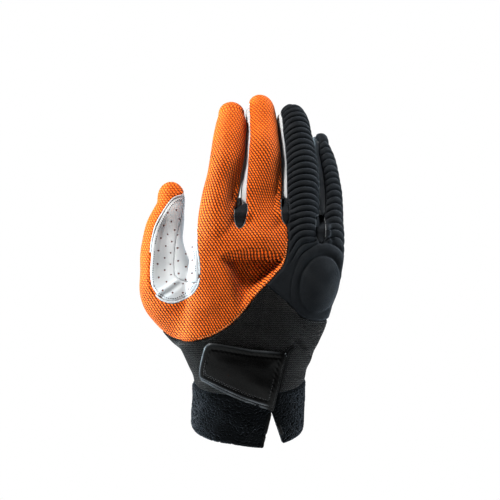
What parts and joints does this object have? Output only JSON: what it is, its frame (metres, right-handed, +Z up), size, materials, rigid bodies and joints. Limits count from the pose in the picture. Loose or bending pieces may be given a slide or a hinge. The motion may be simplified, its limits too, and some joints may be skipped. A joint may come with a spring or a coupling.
{
  "type": "racquetball glove",
  "caption": "Right-hand racquetball glove in its worn shape: mesh and ribbed padded back, leather palm, knuckle pad, wrist strap and terry cuff with a slit.",
  "frame": {"origin": "in the wrist opening of the cuff, where the hand goes in", "axes": "+Z up along the fingers, +X towards the little finger, the back of the hand faces -Y"},
  "size_m": [0.133, 0.0675, 0.2288],
  "materials": {
    "orange_mesh": "spacer mesh with rows of small holes",
    "padded_fabric": "stretch fabric over ribs of foam",
    "black_knit": "fine stretch knit",
    "white_leather": "soft thin leather",
    "perforated_leather": "soft thin leather with rows of small holes",
    "black_mesh": "open stretch mesh",
    "terry": "looped pile",
    "strap_leather": "smooth coated synthetic leather with a turned edge"
  },
  "bodies": {
    "root": {"orange_mesh_back": "orange_mesh", "ribbed_back": "padded_fabric", "knit_lower_back": "black_knit", "leather_palm": "white_leather", "thumb_inner_panel": "perforated_leather", "side_strip_index_middle": "white_leather", "side_strip_middle_ring": "white_leather", "side_strip_ring_little": "white_leather", "gusset_index_middle": "black_mesh", "gusset_middle_ring": "black_mesh", "gusset_ring_little": "black_mesh", "terry_cuff": "terry", "strap_tab": "strap_leather"}
  },
  "joints": []
}
